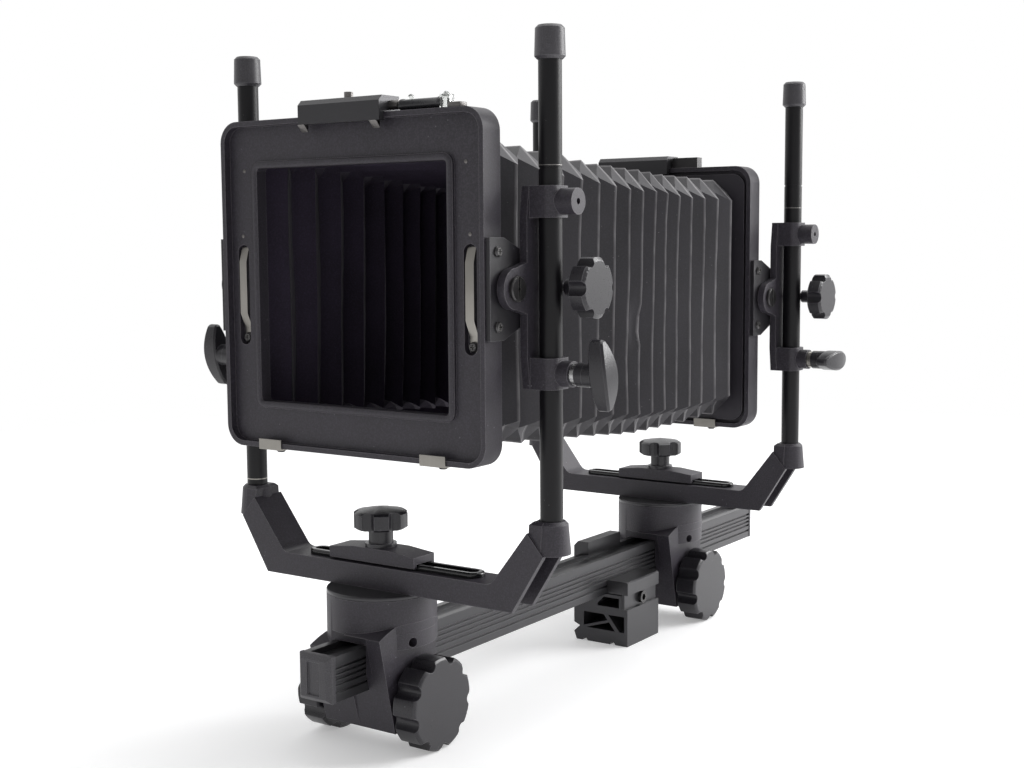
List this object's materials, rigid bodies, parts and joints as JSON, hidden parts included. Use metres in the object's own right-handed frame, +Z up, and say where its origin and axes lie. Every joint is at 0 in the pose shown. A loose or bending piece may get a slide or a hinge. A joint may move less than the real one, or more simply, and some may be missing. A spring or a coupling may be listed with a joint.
{
  "type": "view camera",
  "caption": "Monorail view camera: two tilting, rising, shifting, swinging and focusing frames joined by a pleated bellows, on a ribbed rail with a tripod block.",
  "frame": {"origin": "mouth of the tripod socket, in the underside of the tripod block, on the surface the camera stands on", "axes": "+Z up, +Y along the rail from the front standard to the rear one, +X to the camera's right as seen from the front"},
  "size_m": [0.2732, 0.4865, 0.3615],
  "materials": {
    "black_anodised": "satin black anodised",
    "black_casting": "fine textured black paint",
    "black_sheet": "satin black paint",
    "black_rod": "semi-gloss black",
    "black_plastic": "satin",
    "knob_plastic": "fine grained",
    "gloss_black": "glossy",
    "black_steel": "blackened",
    "steel": "machined",
    "bright_steel": "nickel plated",
    "level_tube": "dark sleeve with clear ends",
    "board_panel": "satin dark grey",
    "bellows_cloth": "pleated black leather-cloth"
  },
  "bodies": {
    "rail": {"rail": "black_anodised", "rail_end_caps": "black_plastic", "focus_rack": "steel", "bellows": "bellows_cloth"},
    "tripod_block": {"tripod_block": "black_anodised", "tripod_jaw": "black_anodised"},
    "jaw_bolt": {"tripod_jaw_bolt": "black_steel"},
    "front_carriage": {"front_carriage": "black_casting", "front_set_screws": "black_steel"},
    "front_drive": {"front_pinion_shaft": "steel", "front_focus_knob": "knob_plastic"},
    "front_focus_lock": {"front_focus_lock_knob": "knob_plastic"},
    "front_turntable": {"front_swing_disc": "black_anodised", "front_clamp_plate": "black_casting"},
    "front_shift_lock": {"front_shift_knob": "knob_plastic"},
    "front_yoke": {"front_yoke": "black_casting", "front_slot_liner": "gloss_black", "front_rods": "black_rod", "front_rod_caps": "black_plastic"},
    "front_riser": {"front_bracket_left": "black_casting", "front_bracket_right": "black_casting", "front_lock_studs": "bright_steel"},
    "front_tilt_lock": {"front_tilt_knob": "knob_plastic"},
    "front_rise_lock_left": {"front_wing_knob_left": "knob_plastic"},
    "front_rise_lock_right": {"front_wing_knob_right": "knob_plastic"},
    "front_frame": {"front_frame": "black_casting", "front_frame_screws": "black_steel", "front_frame_springs": "bright_steel", "front_side_plates": "black_sheet", "front_pivot_screws": "black_steel", "bellows_front_board": "board_panel", "front_spirit_level": "level_tube"},
    "front_board_lock": {"front_lock_bar": "black_anodised", "front_lock_rod": "bright_steel"},
    "rear_carriage": {"rear_carriage": "black_casting", "rear_set_screws": "black_steel"},
    "rear_drive": {"rear_pinion_shaft": "steel", "rear_focus_knob": "knob_plastic"},
    "rear_focus_lock": {"rear_focus_lock_knob": "knob_plastic"},
    "rear_turntable": {"rear_swing_disc": "black_anodised", "rear_clamp_plate": "black_casting"},
    "rear_shift_lock": {"rear_shift_knob": "knob_plastic"},
    "rear_yoke": {"rear_yoke": "black_casting", "rear_slot_liner": "gloss_black", "rear_rods": "black_rod", "rear_rod_caps": "black_plastic"},
    "rear_riser": {"rear_bracket_left": "black_casting", "rear_bracket_right": "black_casting", "rear_lock_studs": "bright_steel"},
    "rear_tilt_lock": {"rear_tilt_knob": "knob_plastic"},
    "rear_rise_lock_left": {"rear_wing_knob_left": "knob_plastic"},
    "rear_rise_lock_right": {"rear_wing_knob_right": "knob_plastic"},
    "rear_frame": {"rear_frame": "black_casting", "rear_frame_screws": "black_steel", "rear_frame_springs": "bright_steel", "rear_side_plates": "black_sheet", "rear_pivot_screws": "black_steel", "bellows_rear_board": "board_panel"},
    "rear_board_lock": {"rear_lock_bar": "black_anodised", "rear_lock_rod": "bright_steel"}
  },
  "joints": [
    {"name": "tripod_block_slide", "type": "slide", "parent": "rail", "child": "tripod_block", "axis": [0, 1, 0], "range_m": [-0.165, 0.014]},
    {"name": "jaw_bolt_turn", "type": "hinge", "parent": "tripod_block", "child": "jaw_bolt", "pos_m": [0.024, 0, 0.029], "axis": [1, 0, 0], "range_deg": [0, 360]},
    {"name": "front_focus", "type": "slide", "parent": "rail", "child": "front_carriage", "axis": [0, 1, 0], "range_m": [-0.015, 0.12], "deforming": ["bellows"]},
    {"name": "front_focus_drive", "type": "hinge", "parent": "front_carriage", "child": "front_drive", "pos_m": [0.03, -0.2345, 0.0244], "axis": [1, 0, 0], "range_deg": [-86.4, 688]},
    {"name": "front_focus_lock_turn", "type": "hinge", "parent": "front_carriage", "child": "front_focus_lock", "pos_m": [-0.03, -0.2345, 0.0244], "axis": [-1, 0, 0], "range_deg": [0, 180]},
    {"name": "front_swing", "type": "hinge", "parent": "front_carriage", "child": "front_turntable", "pos_m": [0, -0.2345, 0.078], "axis": [0, 0, 1], "range_deg": [-30, 30], "deforming": ["bellows"]},
    {"name": "front_shift_lock_turn", "type": "hinge", "parent": "front_turntable", "child": "front_shift_lock", "pos_m": [0, -0.2345, 0.115], "axis": [0, 0, 1], "range_deg": [0, 180]},
    {"name": "front_shift", "type": "slide", "parent": "front_turntable", "child": "front_yoke", "axis": [1, 0, 0], "range_m": [-0.038, 0.02], "deforming": ["bellows"]},
    {"name": "front_rise", "type": "slide", "parent": "front_yoke", "child": "front_riser", "axis": [0, 0, 1], "range_m": [-0.028, 0.055], "deforming": ["bellows"]},
    {"name": "front_tilt", "type": "hinge", "parent": "front_riser", "child": "front_frame", "pos_m": [0.009, -0.2542, 0.2394], "axis": [1, 0, 0], "range_deg": [-20, 20], "deforming": ["bellows"]},
    {"name": "front_tilt_lock_turn", "type": "hinge", "parent": "front_riser", "child": "front_tilt_lock", "pos_m": [0.127, -0.226, 0.2394], "axis": [1, 0, 0], "range_deg": [0, 180]},
    {"name": "front_rise_lock_left_turn", "type": "hinge", "parent": "front_riser", "child": "front_rise_lock_left", "pos_m": [-0.109, -0.2345, 0.1989], "axis": [-1, 0, 0], "range_deg": [0, 180]},
    {"name": "front_rise_lock_right_turn", "type": "hinge", "parent": "front_riser", "child": "front_rise_lock_right", "pos_m": [0.127, -0.2345, 0.1989], "axis": [1, 0, 0], "range_deg": [0, 180]},
    {"name": "front_board_lock_lift", "type": "slide", "parent": "front_frame", "child": "front_board_lock", "axis": [0, 0, 1], "range_m": [0, 0.004]},
    {"name": "rear_focus", "type": "slide", "parent": "rail", "child": "rear_carriage", "axis": [0, 1, 0], "range_m": [-0.014, 0.09], "deforming": ["bellows"]},
    {"name": "rear_focus_drive", "type": "hinge", "parent": "rear_carriage", "child": "rear_drive", "pos_m": [0.03, 0.0697, 0.0244], "axis": [1, 0, 0], "range_deg": [-80.7, 516.2]},
    {"name": "rear_focus_lock_turn", "type": "hinge", "parent": "rear_carriage", "child": "rear_focus_lock", "pos_m": [-0.03, 0.0697, 0.0244], "axis": [-1, 0, 0], "range_deg": [0, 180]},
    {"name": "rear_swing", "type": "hinge", "parent": "rear_carriage", "child": "rear_turntable", "pos_m": [0, 0.0697, 0.078], "axis": [0, 0, 1], "range_deg": [-30, 30], "deforming": ["bellows"]},
    {"name": "rear_shift_lock_turn", "type": "hinge", "parent": "rear_turntable", "child": "rear_shift_lock", "pos_m": [0, 0.0697, 0.115], "axis": [0, 0, 1], "range_deg": [0, 180]},
    {"name": "rear_shift", "type": "slide", "parent": "rear_turntable", "child": "rear_yoke", "axis": [1, 0, 0], "range_m": [-0.028, 0.03], "deforming": ["bellows"]},
    {"name": "rear_rise", "type": "slide", "parent": "rear_yoke", "child": "rear_riser", "axis": [0, 0, 1], "range_m": [-0.015, 0.07], "deforming": ["bellows"]},
    {"name": "rear_tilt", "type": "hinge", "parent": "rear_riser", "child": "rear_frame", "pos_m": [-0.001, 0.05, 0.2238], "axis": [1, 0, 0], "range_deg": [-20, 20], "deforming": ["bellows"]},
    {"name": "rear_tilt_lock_turn", "type": "hinge", "parent": "rear_riser", "child": "rear_tilt_lock", "pos_m": [0.117, 0.0782, 0.2238], "axis": [1, 0, 0], "range_deg": [0, 180]},
    {"name": "rear_rise_lock_left_turn", "type": "hinge", "parent": "rear_riser", "child": "rear_rise_lock_left", "pos_m": [-0.119, 0.0697, 0.1833], "axis": [-1, 0, 0], "range_deg": [0, 180]},
    {"name": "rear_rise_lock_right_turn", "type": "hinge", "parent": "rear_riser", "child": "rear_rise_lock_right", "pos_m": [0.117, 0.0697, 0.1833], "axis": [1, 0, 0], "range_deg": [0, 180]},
    {"name": "rear_board_lock_lift", "type": "slide", "parent": "rear_frame", "child": "rear_board_lock", "axis": [0, 0, 1], "range_m": [0, 0.004]}
  ],
  "couplings": [
    {"joint": "front_focus_drive", "follows": "front_focus", "rad_per_m": 100},
    {"joint": "rear_focus_drive", "follows": "rear_focus", "rad_per_m": 100}
  ]
}
